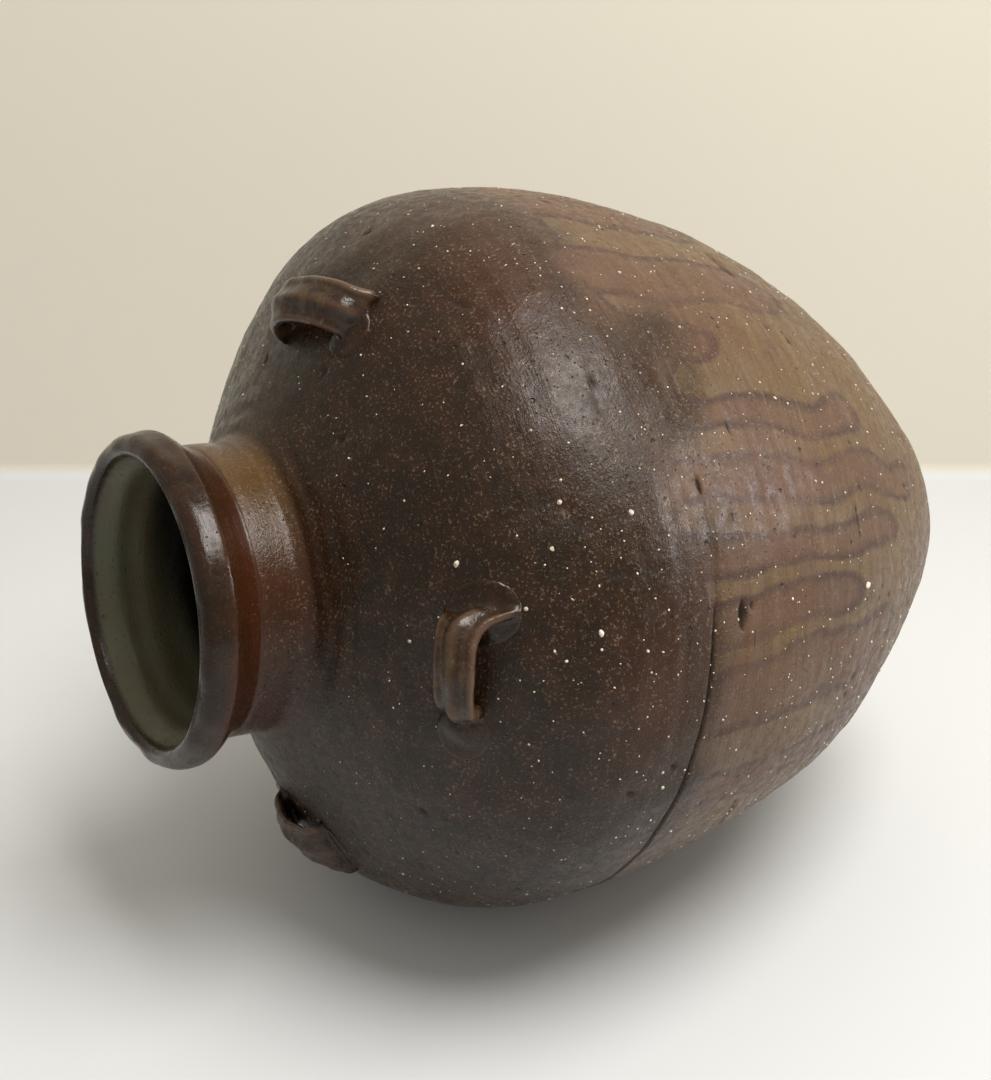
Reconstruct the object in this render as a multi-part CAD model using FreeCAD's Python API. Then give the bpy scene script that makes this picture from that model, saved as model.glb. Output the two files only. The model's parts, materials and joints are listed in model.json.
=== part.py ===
"""Four-lug stoneware storage jar, upright, in millimetres.

The jar is hand built from separate clay pieces: a base slab, five wall sections, a neck, a
rolled rim and four strap lugs. Neighbouring pieces meet face to face on bevelled luting joints.
The origin is the centre of the foot's resting face, +Z is the jar's axis towards the mouth, and
the lugs stand on the shoulder at the X and Y axes.
"""

import FreeCAD, Part
import math
import os

# Body
jar_height = 400.0
belly_radius = 166.5
belly_height = 245.0
foot_radius = 60.0
wall = 9.0
floor_thickness = 14.0

# Shoulder and neck
shoulder_curve_radius = 86.0
shoulder_slope = math.radians(28.0)
neck_radius = 63.0
neck_fillet = 10.0

# Rim
rim_radius = 71.0
rim_bulge = 0.4
rim_under_edge_height = 384.5
rim_under_edge_inset = 1.6
rim_joint_height = 372.0
rim_joint_rise = 4.0
lip_inner_radius = 61.0
lip_inner_round = 4.0
lip_outer_round = rim_radius - lip_inner_radius - lip_inner_round
rim_undercut_depth = 2.2
mouth_flare_sag = 1.2

# Luting joints between the wall sections, at the outer face
base_joint_height = 8.0
lower_joint_height = 64.0
flank_joint_height = 120.0
belly_joint_height = 236.0
shoulder_joint_height = 300.0
joint_bevel = 6.0
joint_overrun = 1.0

# Lugs
lug_turns = {"lug_right": 0.0, "lug_back": 90.0, "lug_left": 180.0, "lug_front": 270.0}
lug_height = 316.0
lug_standoff = 20.0
lug_strap_thickness = 7.0
lug_strap_width = 16.0
lug_half_span = 28.0
lug_foot_width = 8.0
lug_pad_radius = 12.0
lug_pad_thickness = 4.0
lug_root_depth = 8.0
lug_edge_round = 2.5
lug_pad_centre = lug_half_span - lug_foot_width / 2.0
lug_pad_height = 3.0 * lug_root_depth

throat_radius = neck_radius - wall
outside_all = 2.0 * belly_radius

# The lower body is one arc, upright at the belly and passing through the foot's edge.
belly_overhang = belly_radius - foot_radius
lower_curve_radius = (belly_overhang**2 + belly_height**2) / (2.0 * belly_overhang)
lower_curve_centre = belly_radius - lower_curve_radius

# The shoulder is an arc from the belly, then a straight cone, then a hollow fillet to the neck.
shoulder_curve_centre = belly_radius - shoulder_curve_radius
shoulder_normal = (math.sin(shoulder_slope), math.cos(shoulder_slope))
cone_start = (
    shoulder_curve_centre + shoulder_curve_radius * shoulder_normal[0],
    belly_height + shoulder_curve_radius * shoulder_normal[1],
)
cone_run = cone_start[0] - neck_radius - neck_fillet * (1.0 - shoulder_normal[0])
fillet_centre = (
    neck_radius + neck_fillet,
    cone_start[1] + cone_run * math.tan(shoulder_slope) + neck_fillet * shoulder_normal[1],
)


def point(radius, height):
    """A point of a half section, in the XZ plane."""
    return FreeCAD.Vector(radius, 0.0, height)


def line(start, end):
    """A straight edge of a half section."""
    return Part.LineSegment(start, end).toShape()


def arc(start, middle, end):
    """A round edge of a half section through three points."""
    return Part.Arc(start, middle, end).toShape()


def turned(edges):
    """The solid that a closed half section sweeps about the jar's axis."""
    face = Part.Face(Part.Wire(edges))
    return face.revolve(FreeCAD.Vector(), FreeCAD.Vector(0.0, 0.0, 1.0), 360.0)


def lower_radius_at(height, inset):
    """Radius of the lower curve at a height, moved into the wall by inset."""
    reach = lower_curve_radius - inset
    return lower_curve_centre + math.sqrt(reach**2 - (belly_height - height) ** 2)


def on_lower_curve(height, inset):
    """The point of the lower curve at a height."""
    return point(lower_radius_at(height, inset), height)


def on_shoulder_curve(angle, inset):
    """The point of the shoulder arc where its normal rises by angle."""
    reach = shoulder_curve_radius - inset
    return point(
        shoulder_curve_centre + reach * math.cos(angle),
        belly_height + reach * math.sin(angle),
    )


def on_neck_fillet(angle, inset):
    """The point of the hollow fillet below its centre, at an angle under the horizontal."""
    reach = neck_fillet + inset
    return point(
        fillet_centre[0] - reach * math.cos(angle),
        fillet_centre[1] - reach * math.sin(angle),
    )


def body_edges(inset, foot_height):
    """The wall's curve from foot_height up to the neck, moved into the wall by inset."""
    cone_angle = math.pi / 2.0 - shoulder_slope
    foot = on_lower_curve(foot_height, inset)
    belly = point(belly_radius - inset, belly_height)
    halfway = on_lower_curve((foot_height + belly_height) / 2.0, inset)
    shoulder_top = on_shoulder_curve(cone_angle, inset)
    fillet_foot = on_neck_fillet(cone_angle, inset)
    fillet_top = on_neck_fillet(0.0, inset)
    return [
        arc(foot, halfway, belly),
        arc(belly, on_shoulder_curve(cone_angle / 2.0, inset), shoulder_top),
        line(shoulder_top, fillet_foot),
        arc(fillet_foot, on_neck_fillet(cone_angle / 2.0, inset), fillet_top),
    ]


def body_solid(inset, foot_height):
    """Everything inside the wall's curve, closed at the neck, for one inset."""
    edges = body_edges(inset, foot_height)
    foot = on_lower_curve(foot_height, inset)
    throat = point(neck_radius - inset, fillet_centre[1])
    throat_top = point(neck_radius - inset, jar_height)
    axis_top = point(0.0, jar_height)
    axis_foot = point(0.0, foot_height)
    edges.append(line(throat, throat_top))
    edges.append(line(throat_top, axis_top))
    edges.append(line(axis_top, axis_foot))
    edges.append(line(axis_foot, foot))
    return turned(edges)


def below_joint(outer_point, inner_point):
    """Everything under a conical joint face from the wall's outer face to its inner face."""
    along = outer_point - inner_point
    along.normalize()
    outer = outer_point + along * joint_overrun
    inner = inner_point - along * joint_overrun
    low_axis = point(0.0, -joint_overrun)
    low_edge = point(outside_all, -joint_overrun)
    edge = point(outside_all, outer.z)
    axis = point(0.0, inner.z)
    return turned(
        [
            line(low_axis, low_edge),
            line(low_edge, edge),
            line(edge, outer),
            line(outer, inner),
            line(inner, axis),
            line(axis, low_axis),
        ]
    )


def wall_joint(height, rise):
    """The joint at a height of the lower curve, rising or falling towards the inside."""
    return below_joint(on_lower_curve(height, 0.0), on_lower_curve(height + rise, wall))


def shoulder_joint():
    """The joint square across the round of the shoulder, under the lugs."""
    lift = math.asin((shoulder_joint_height - belly_height) / shoulder_curve_radius)
    return below_joint(on_shoulder_curve(lift, 0.0), on_shoulder_curve(lift, wall))


def neck_joint():
    """The joint across the hollow fillet between the shoulder and the neck."""
    slant = math.pi / 4.0
    return below_joint(on_neck_fillet(slant, 0.0), on_neck_fillet(slant, wall))


def rim_joint():
    """The joint across the neck under the rim."""
    inner_height = rim_joint_height + rim_joint_rise
    return below_joint(point(neck_radius, rim_joint_height), point(throat_radius, inner_height))


def make_wall():
    """The whole pot up to the rim joint, hollow, before it is parted into its sections."""
    pot = body_solid(0.0, 0.0)
    cavity = body_solid(wall, floor_thickness)
    return pot.cut(cavity).common(rim_joint())


def make_wall_sections():
    """The base slab, the five wall sections and the neck, from the foot up."""
    names = [
        "base_slab",
        "lower_wall",
        "flank_wall",
        "belly_wall",
        "shoulder_wall",
        "collar_wall",
        "neck",
    ]
    joints = [
        wall_joint(base_joint_height, floor_thickness - base_joint_height),
        wall_joint(lower_joint_height, -joint_bevel),
        wall_joint(flank_joint_height, -joint_bevel),
        wall_joint(belly_joint_height, -joint_bevel),
        shoulder_joint(),
        neck_joint(),
    ]
    sections = {}
    rest = make_wall()
    for name, joint in zip(names, joints):
        sections[name] = rest.common(joint)
        rest = rest.cut(joint)
    sections[names[-1]] = rest
    return sections


def make_rim():
    """The rolled rim: a flared mouth, a rounded lip, an upright band and an undercut."""
    throat = point(throat_radius, rim_joint_height + rim_joint_rise)
    lip_in = point(lip_inner_radius, jar_height - lip_inner_round)
    lip_top = point(lip_inner_radius + lip_inner_round, jar_height)
    band_top = point(rim_radius, jar_height - lip_outer_round)
    under_edge = point(rim_radius - rim_under_edge_inset, rim_under_edge_height)
    root = point(neck_radius, rim_joint_height)
    flare_middle = (throat + lip_in) * 0.5 - point(mouth_flare_sag, -mouth_flare_sag)
    band_middle = (band_top + under_edge) * 0.5 + point(rim_bulge, 0.0)
    undercut_middle = (under_edge + root) * 0.5 + point(-rim_undercut_depth, rim_undercut_depth)
    diagonal = math.sqrt(0.5)
    inner_centre = point(lip_inner_radius + lip_inner_round, jar_height - lip_inner_round)
    outer_centre = point(rim_radius - lip_outer_round, jar_height - lip_outer_round)
    inner_round = inner_centre + point(-diagonal, diagonal) * lip_inner_round
    outer_round = outer_centre + point(diagonal, diagonal) * lip_outer_round
    edges = [
        arc(throat, flare_middle, lip_in),
        arc(lip_in, inner_round, lip_top),
        arc(lip_top, outer_round, band_top),
        arc(band_top, band_middle, under_edge),
        arc(under_edge, undercut_middle, root),
        line(root, throat),
    ]
    return turned(edges)


def lug_axes():
    """Origin on the shoulder, outward normal and uphill direction of the lug on +X."""
    lift = math.asin((lug_height - belly_height) / shoulder_curve_radius)
    seat = on_shoulder_curve(lift, 0.0)
    normal = point(math.cos(lift), math.sin(lift))
    uphill = point(-math.sin(lift), math.cos(lift))
    return seat, normal, uphill


def make_strap():
    """The arched strap on +X, with its ends run down into the shoulder."""
    seat, normal, uphill = lug_axes()
    across = FreeCAD.Vector(0.0, 1.0, 0.0)

    def at(side, rise):
        return seat + across * side + normal * rise - uphill * (lug_strap_width / 2.0)

    inner_half = lug_half_span - lug_foot_width
    inner_rise = lug_standoff - lug_strap_thickness
    edges = [
        arc(at(-lug_half_span, 0.0), at(0.0, lug_standoff), at(lug_half_span, 0.0)),
        line(at(lug_half_span, 0.0), at(lug_half_span, -lug_root_depth)),
        line(at(lug_half_span, -lug_root_depth), at(inner_half, -lug_root_depth)),
        line(at(inner_half, -lug_root_depth), at(inner_half, 0.0)),
        arc(at(inner_half, 0.0), at(0.0, inner_rise), at(-inner_half, 0.0)),
        line(at(-inner_half, 0.0), at(-inner_half, -lug_root_depth)),
        line(at(-inner_half, -lug_root_depth), at(-lug_half_span, -lug_root_depth)),
        line(at(-lug_half_span, -lug_root_depth), at(-lug_half_span, 0.0)),
    ]
    strap = Part.Face(Part.Wire(edges)).extrude(uphill * lug_strap_width)
    arches = [edge for edge in strap.Edges if edge.Curve.TypeId == "Part::GeomCircle"]
    return strap.makeFillet(lug_edge_round, arches)


def make_lug():
    """One lug on +X: a strap and its two pressed pads, seated on the shoulder."""
    seat, normal, _ = lug_axes()
    jar = body_solid(0.0, 0.0)
    pad_shell = body_solid(-lug_pad_thickness, 0.0)
    lug = make_strap()
    for side in (-1.0, 1.0):
        low = seat + FreeCAD.Vector(0.0, side * lug_pad_centre, 0.0) - normal * lug_root_depth
        plug = Part.makeCylinder(lug_pad_radius, lug_pad_height, low, normal)
        lug = lug.fuse(plug.common(pad_shell))
    return lug.cut(jar)


def make_lugs():
    """Four equal lugs, a quarter turn apart."""
    lug = make_lug()
    lugs = {}
    for name, turn in lug_turns.items():
        copy = lug.copy()
        copy.rotate(FreeCAD.Vector(), FreeCAD.Vector(0.0, 0.0, 1.0), turn)
        lugs[name] = copy
    return lugs


def main():
    nodes = make_wall_sections()
    nodes["rim"] = make_rim()
    nodes.update(make_lugs())
    os.makedirs("parts", exist_ok=True)
    for name, shape in nodes.items():
        solids = shape.Solids
        print(name, "solids", len(solids), "valid", shape.isValid(), "volume", round(shape.Volume))
        shape.exportStep(os.path.join("parts", name + ".step"))


main()
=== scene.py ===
"""The visual model of the four-lug stoneware jar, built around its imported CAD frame.

Every clay piece of the frame is replaced by a finer piece of about the same size and place,
with the bends, throwing rings, cracks and finger marks of a hand-built pot. The frame stands
upright; the camera is rolled, because the jar is looked at where it lies on its side.
"""

import json
import math
from typing import NamedTuple

import bmesh
import bpy
import numpy as np
from mathutils import Matrix, Vector


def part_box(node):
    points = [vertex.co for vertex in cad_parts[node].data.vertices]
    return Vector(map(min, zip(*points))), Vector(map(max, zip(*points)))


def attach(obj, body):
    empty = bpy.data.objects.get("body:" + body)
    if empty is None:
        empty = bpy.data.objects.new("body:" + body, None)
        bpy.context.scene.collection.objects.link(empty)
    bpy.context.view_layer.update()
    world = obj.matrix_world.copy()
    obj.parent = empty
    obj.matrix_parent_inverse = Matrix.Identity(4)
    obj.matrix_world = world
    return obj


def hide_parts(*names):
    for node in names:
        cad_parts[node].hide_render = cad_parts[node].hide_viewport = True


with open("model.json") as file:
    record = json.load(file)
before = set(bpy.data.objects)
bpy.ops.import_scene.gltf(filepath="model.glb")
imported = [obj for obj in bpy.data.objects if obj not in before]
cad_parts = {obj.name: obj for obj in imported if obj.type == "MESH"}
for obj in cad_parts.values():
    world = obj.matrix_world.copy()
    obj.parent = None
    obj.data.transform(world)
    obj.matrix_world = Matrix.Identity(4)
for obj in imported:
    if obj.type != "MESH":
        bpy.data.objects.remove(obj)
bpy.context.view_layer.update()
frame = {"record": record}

MM = 0.001
TURN = 2.0 * math.pi

# ---------- sizes, in metres

jar_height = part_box("rim")[1].z
belly_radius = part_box("belly_wall")[1].x
rim_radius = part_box("rim")[1].x
mouth = next(m for m in frame["record"]["mounts"] if m["name"] == "mouth")
throat_radius = mouth["dims"]["r_mm"] * MM

wall = 9 * MM
floor_thickness = 14 * MM
foot_radius = 60 * MM
foot_wear = 2.4 * MM
belly_height = 245 * MM
shoulder_curve_radius = 86 * MM
shoulder_slope = math.radians(28)
neck_radius = throat_radius + wall
neck_fillet = 10 * MM
rim_root_height = 372 * MM
rim_under_edge_height = jar_height - 15.5 * MM
lip_inner_radius = rim_radius - 10 * MM
lip_inner_round = 4 * MM
lip_outer_round = rim_radius - lip_inner_radius - lip_inner_round

# Heights where one clay piece meets the next, at the outer face and at the inner face.
joint_heights = {
    "base_slab": (8 * MM, 14 * MM),
    "lower_wall": (64 * MM, 58 * MM),
    "flank_wall": (120 * MM, 114 * MM),
    "belly_wall": (236 * MM, 230 * MM),
    "shoulder_wall": (300 * MM, 294.2 * MM),
    "collar_wall": (350.6 * MM, 344.3 * MM),
    "neck": (rim_root_height, rim_root_height + 4 * MM),
}

segments = 640
coarse_step = 1.7 * MM
fine_step = 0.6 * MM
inner_step = 5 * MM

# The seam between the belly and the shoulder sections wanders round the pot.
seam_height = 232.5 * MM
seam_wander = 7 * MM
seam_half_width = 0.55 * MM
seam_zero = math.radians(-98)
seam_open_from, seam_open_to = -150, -79  # degrees


# ---------- smooth random fields


def smooth_field(seed, wavelength, waves=18):
    """A smooth random function of points (n, 3), about -1 to 1, with that wavelength."""
    random = np.random.default_rng(seed)
    directions = random.normal(size=(waves, 3))
    directions /= np.linalg.norm(directions, axis=1)[:, None]
    sizes = random.uniform(0.7, 1.5, waves)[:, None]
    vectors = directions * sizes * TURN / wavelength
    phases = random.uniform(0, TURN, waves)

    def value(points):
        total = np.zeros(points.shape[:-1])
        for vector, phase in zip(vectors, phases):
            total += np.sin(points @ vector + phase)
        return total / math.sqrt(waves)

    return value


lumps = smooth_field(3, 120 * MM)
dents = smooth_field(5, 38 * MM)
skin = smooth_field(7, 11 * MM, 26)
ring_drift = smooth_field(11, 170 * MM)
edge_wobble = smooth_field(13, 22 * MM)
patch_field = smooth_field(17, 70 * MM)


def smoothstep(low, high, value):
    """0 below low, 1 above high, smooth between."""
    t = np.clip((value - low) / (high - low), 0, 1)
    return t * t * (3 - 2 * t)


def bell(offset, width):
    """1 where offset is 0, fading smoothly to 0 past the width."""
    return np.exp(-((offset / width) ** 2))


def angle_from(turn, degrees):
    """The signed angle in radians from a bearing in degrees to turn, from -pi to pi."""
    return (turn - math.radians(degrees) + math.pi) % TURN - math.pi


# ---------- the turned outline


def arc_points(centre, radius, start, end, step):
    """Points of an arc in the half section, by angle from the radial direction."""
    count = max(2, round(abs(end - start) * radius / step))
    angles = np.linspace(start, end, count + 1)
    return np.array(centre) + radius * np.column_stack([np.cos(angles), np.sin(angles)])


def line_points(start, end, step):
    """Points of a straight run in the half section."""
    length = math.hypot(end[0] - start[0], end[1] - start[1])
    shares = np.linspace(0, 1, max(1, round(length / step)) + 1)[:, None]
    return np.array(start) * (1 - shares) + np.array(end) * shares


belly_overhang = belly_radius - foot_radius
lower_curve_radius = (belly_overhang**2 + belly_height**2) / (2 * belly_overhang)
lower_centre = (belly_radius - lower_curve_radius, belly_height)
shoulder_centre = (belly_radius - shoulder_curve_radius, belly_height)
cone_angle = math.pi / 2 - shoulder_slope
cone_start_radius = shoulder_centre[0] + shoulder_curve_radius * math.cos(cone_angle)
cone_start_height = belly_height + shoulder_curve_radius * math.sin(cone_angle)
cone_run = cone_start_radius - neck_radius - neck_fillet * (1 - math.cos(cone_angle))
cone_rise = cone_run * math.tan(shoulder_slope)
fillet_height = cone_start_height + cone_rise + neck_fillet * math.sin(cone_angle)
fillet_centre = (neck_radius + neck_fillet, fillet_height)


def lower_angle(height, inset):
    """The angle on the lower curve at a height."""
    return math.asin((height - belly_height) / (lower_curve_radius - inset))


def straight_runs(corners, steps):
    """Straight runs from corner to corner, each with its own step."""
    return [line_points(a, b, step) for a, b, step in zip(corners, corners[1:], steps)]


def outer_outline():
    """The outer half section from the middle of the sole up to the top of the lip."""
    sole_edge = foot_radius - foot_wear
    wear_angle = lower_angle(foot_wear, 0)
    wear_top = (lower_centre[0] + lower_curve_radius * math.cos(wear_angle), foot_wear)
    sole = [(2 * MM, 0), (sole_edge, 0), (sole_edge + 1.2 * MM, 0.5 * MM), wear_top]
    seam_low = lower_angle(seam_height - 12 * MM, 0)
    seam_top = lower_angle(belly_height - 1 * MM, 0)
    cone_start = (cone_start_radius, cone_start_height)
    cone_end = (
        fillet_centre[0] - neck_fillet * math.cos(cone_angle),
        fillet_centre[1] - neck_fillet * math.sin(cone_angle),
    )
    band_top = jar_height - lip_outer_round
    band_radius = rim_radius - 0.3 * MM
    lip_centre = (band_radius - lip_outer_round, band_top)
    lip_top_radius = lip_inner_radius + lip_inner_round
    neck_and_rim = [
        (neck_radius, fillet_centre[1]),
        (neck_radius, rim_root_height),
        (neck_radius - 0.7 * MM, rim_root_height + 1.2 * MM),  # groove under the rim
        (neck_radius + 1.3 * MM, rim_under_edge_height - 5.4 * MM),
        (rim_radius - 1.6 * MM, rim_under_edge_height),
        (rim_radius + 0.5 * MM, rim_under_edge_height + 3.2 * MM),  # crest of the roll
        (band_radius, band_top),
    ]
    return joined(
        [
            *straight_runs(sole, [4 * MM, fine_step, fine_step]),
            arc_points(lower_centre, lower_curve_radius, wear_angle, seam_low, coarse_step),
            arc_points(lower_centre, lower_curve_radius, seam_low, seam_top, fine_step),
            arc_points(shoulder_centre, shoulder_curve_radius, 0, cone_angle, coarse_step),
            line_points(cone_start, cone_end, 0.8 * coarse_step),
            arc_points(fillet_centre, neck_fillet, math.pi + cone_angle, math.pi, fine_step),
            *straight_runs(neck_and_rim, [2 * fine_step, fine_step / 2] + [fine_step] * 4),
            arc_points(lip_centre, lip_outer_round, 0, math.pi / 2, fine_step),
            line_points((lip_centre[0], jar_height), (lip_top_radius, jar_height), fine_step),
        ]
    )


def inner_outline():
    """The inner half section from the lip down the throat and cavity to the floor's middle."""
    lip_centre = (lip_inner_radius + lip_inner_round, jar_height - lip_inner_round)
    throat = [
        (lip_inner_radius, jar_height - lip_inner_round),
        (throat_radius + 1.6 * MM, jar_height - 13 * MM),
        (throat_radius, rim_root_height + 4 * MM),
        (throat_radius, fillet_centre[1]),
    ]
    cavity_curve = lower_curve_radius - wall
    edge_height = floor_thickness + 4 * MM
    edge_angle = lower_angle(edge_height, wall)
    edge_radius = lower_centre[0] + cavity_curve * math.cos(edge_angle)
    floor_rim = edge_radius - 7 * MM
    cavity_floor = [
        (edge_radius, edge_height),
        (floor_rim, floor_thickness),
        (2 * MM, floor_thickness),
    ]
    return joined(
        [
            arc_points(lip_centre, lip_inner_round, math.pi / 2, math.pi, fine_step),
            *straight_runs(throat, [1.2 * MM, 1.2 * MM, 2 * MM]),
            arc_points(fillet_centre, neck_fillet + wall, math.pi, math.pi + cone_angle, 2 * MM),
            arc_points(shoulder_centre, shoulder_curve_radius - wall, cone_angle, 0, inner_step),
            arc_points(lower_centre, cavity_curve, 0, edge_angle, inner_step),
            *straight_runs(cavity_floor, [2 * MM, 6 * MM]),
        ]
    )


def joined(runs):
    """Runs of points end to end, without doubled points."""
    points = [runs[0][0]]
    for run in runs:
        for p in run:
            if math.hypot(*(p - points[-1])) > 0.12 * MM:
                points.append(p)
    return np.array(points)


def eased(points, rounds, keep):
    """The outline with its corners rounded by averaging, the ends and keep rows fixed."""
    points = points.copy()
    for _ in range(rounds):
        middle = points[1:-1] * 0.5 + (points[:-2] + points[2:]) * 0.25
        points[1:-1] = np.where(keep[1:-1, None], points[1:-1], middle)
    return points


def outline_normals(points):
    """The outward normals of an outline that runs up the outside and down the inside."""
    along = np.gradient(points, axis=0)
    normals = np.column_stack([along[:, 1], -along[:, 0]])
    return normals / np.linalg.norm(normals, axis=1)[:, None]


def lengths_along(points):
    """The length along an outline from its first point to each of its points."""
    steps = np.linalg.norm(np.diff(points, axis=0), axis=1)
    return np.concatenate([[0], np.cumsum(steps)])


sharp_outer = outer_outline()
outer_run = eased(sharp_outer, 5, sharp_outer[:, 1] < rim_root_height - 4 * MM)

# ---------- the hand-made shape

bend_towards = math.radians(15)
tilt_towards = math.radians(-75)
belly_bend = 4.4 * MM
neck_shift = 4 * MM
mouth_tilt = 0.055
oval_share = 0.008
oval_turn = math.radians(-60)
three_lobe_share = 0.021
three_lobe_turn = math.radians(17)


def warped(points):
    """Row-frame points moved as the whole pot bends, leans and goes out of round."""
    x, y, z = points[..., 0], points[..., 1], points[..., 2]
    turn = np.arctan2(y, x)
    share = np.clip(z / jar_height, 0, 1)
    swell = np.sin(math.pi * np.clip(share / 0.92, 0, 1))
    lobes = oval_share * np.cos(2 * (turn - oval_turn))
    lobes += three_lobe_share * np.cos(3 * (turn - three_lobe_turn))
    grow = 1 + lobes * swell
    shift = belly_bend * np.sin(math.pi * share)
    shift += neck_shift * np.clip((share - 0.8) / 0.12, 0, 1)
    radius = np.hypot(x, y)
    lean = -mouth_tilt * radius * np.cos(turn - tilt_towards)
    moved_x = x * grow + shift * math.cos(bend_towards)
    moved_y = y * grow + shift * math.sin(bend_towards)
    moved_z = z + lean * np.clip((share - 0.85) / 0.1, 0, 1)
    return np.stack([moved_x, moved_y, moved_z], axis=-1)


def seam_height_at(turn):
    """Height of the seam round the belly."""
    return seam_height + seam_wander * np.sin(2 * (seam_zero - turn))


def seam_opening(turn):
    """1 where the seam stands open as a crack, fading to 0 where the glaze has closed it."""
    from_start = angle_from(turn, seam_open_from)
    from_end = -angle_from(turn, seam_open_to)
    return smoothstep(0, 0.25, from_start) * smoothstep(0, 0.12, from_end)


# Cracks and gouges: turn in degrees, then height, length, half width and depth in
# millimetres, and slant in degrees.
cracks = [
    (-84, 214, 15, 1.7, 2.6, 4), (-83, 209, 6, 1.1, 1.4, 30), (-74.5, 134, 24, 0.8, 1.4, 6),
    (-50, 262, 28, 0.7, 1.1, -8), (-66, 229, 9, 0.9, 1.4, 12), (-71, 216, 8, 0.8, 1.1, -10),
    (-30, 292, 14, 0.8, 1.1, 25), (-24, 150, 22, 1, 1.5, 12), (-121, 190, 30, 0.8, 1.3, 9),
    (-58, 205, 10, 0.9, 1.2, -6), (60, 222, 34, 0.8, 1.3, 3), (128, 180, 18, 1, 1.5, -7),
    (171, 140, 26, 0.8, 1.3, 5), (95, 290, 12, 0.9, 1.2, 20),
]


def crack_depth(turn, height, radius):
    """How far the listed cracks and the open seam cut into the wall, in metres."""
    depth = np.zeros_like(turn)
    for degrees, *sizes, slant in cracks:
        at, length, half, deep = (size * MM for size in sizes)
        along = angle_from(turn, degrees) * radius
        up = height - at
        lean = math.radians(slant)
        run = along * math.cos(lean) + up * math.sin(lean)
        off = up * math.cos(lean) - along * math.sin(lean)
        off = off + 0.25 * half * np.sin(run / (3 * MM))
        taper = np.clip(1 - (2 * run / length) ** 2, 0, 1)
        depth += deep * taper * bell(off, half * (0.4 + 0.6 * taper))
    seam_depth = 1.1 * MM * seam_opening(turn) + 0.12 * MM
    return depth + seam_depth * bell(height - seam_height_at(turn), seam_half_width)


def random_pits(seed, count):
    """Small burnt-out holes: turns in degrees, heights, radii and depths."""
    random = np.random.default_rng(seed)
    turns = np.degrees(random.uniform(-math.pi, math.pi, count))
    heights = random.uniform(20 * MM, 335 * MM, count)
    radii = random.uniform(1.0 * MM, 2.0 * MM, count)
    depths = radii * random.uniform(0.45, 0.8, count)
    return turns, heights, radii, depths


pits = random_pits(23, 150)


def pit_depth(turn, height, radius):
    """How far the pits cut into rows of the wall, in metres. Rows share one height each."""
    depth = np.zeros_like(turn)
    for at_turn, at_height, size, deep in zip(*pits):
        rows = np.nonzero(np.abs(height[:, 0] - at_height) < 3 * size)[0]
        if len(rows) == 0:
            continue
        along = angle_from(turn[rows], at_turn) * radius[rows]
        up = height[rows] - at_height
        depth[rows] += deep * bell(np.hypot(along, up), 0.8 * size)
    return depth


lug_turns = {"lug_right": -7.0, "lug_back": 90.0, "lug_left": 180.0, "lug_front": -90.0}
lug_height = 316 * MM
lug_foot_spread = 24 * MM


def lug_smear(turn, height, radius):
    """The shoulder's swelling where the lugs' feet are pressed and smeared on, in metres."""
    swelling = np.zeros_like(turn)
    for degrees in lug_turns.values():
        for side in (-1, 1):
            along = angle_from(turn, degrees) * radius - side * lug_foot_spread
            up = (height - lug_height) / 0.6
            swelling += 1.5 * MM * bell(np.hypot(along, up), 15 * MM)
    return swelling


ring_pitch = 13 * MM
fine_ring_pitch = 7.3 * MM
root_ring_pitch = 5.2 * MM
neck_root_height = 346 * MM


def relief(points, turn, height, radius):
    """How far the outer face stands out from the turned shape, in metres."""
    share = height / jar_height
    body = smoothstep(0.005, 0.06, share) * (1 - smoothstep(0.84, 0.88, share))
    rise = body * (0.9 * MM * lumps(points) + 0.28 * MM * dents(points))
    rise += (0.15 + 0.85 * body) * 0.07 * MM * skin(points)
    spiral = height + 0.004 * turn / TURN + 1.5 * MM * ring_drift(points)
    rings = np.sin(spiral * TURN / ring_pitch) + 0.6 * np.sin(spiral * TURN / fine_ring_pitch + 1)
    rise += body * 0.13 * MM * rings * (0.6 + 0.4 * ring_drift(points[:, ::-1]))
    root = bell(height - neck_root_height, 7 * MM)
    root_strength = 0.75 + 0.25 * np.cos(turn - math.radians(-45))
    root_waves = np.sin((spiral - neck_root_height) * TURN / root_ring_pitch + 1.4 * dents(points))
    root_patches = 0.7 + 0.5 * lumps(points[:, ::-1])
    rise += 0.36 * MM * root * root_strength * root_patches * root_waves
    below_seam = smoothstep(-1.5 * MM, 1.5 * MM, seam_height_at(turn) - height)
    near_seam = bell(height - seam_height_at(turn), 22 * MM)
    seam_step = 0.12 * MM + 0.43 * MM * seam_opening(turn)
    rise += seam_step * (below_seam - 0.5) * near_seam
    rise += body * lug_smear(turn, height, radius)
    return rise + smoothstep(0.965, 0.985, share) * 0.35 * MM * edge_wobble(points)


# ---------- glaze patches

# Tongues of thicker glaze: turn and half width in degrees, and height of the tip in millimetres.
glaze_runs = [
    (-43, 4.0, 212), (-31, 5.5, 150), (-56, 3.0, 120), (-66, 3.4, 78), (-76, 3.0, 108),
    (-85, 3.6, 150), (-96, 5.0, 120), (-12, 5.0, 170), (8, 5.5, 120), (30, 3.8, 195),
    (50, 5.0, 140), (74, 3.2, 105), (95, 5.0, 175), (119, 3.6, 130), (143, 4.4, 190),
    (165, 3.4, 110), (-172, 4.6, 160), (-150, 3.8, 188), (-128, 3.4, 150), (-111, 3.4, 95),
]


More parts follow.
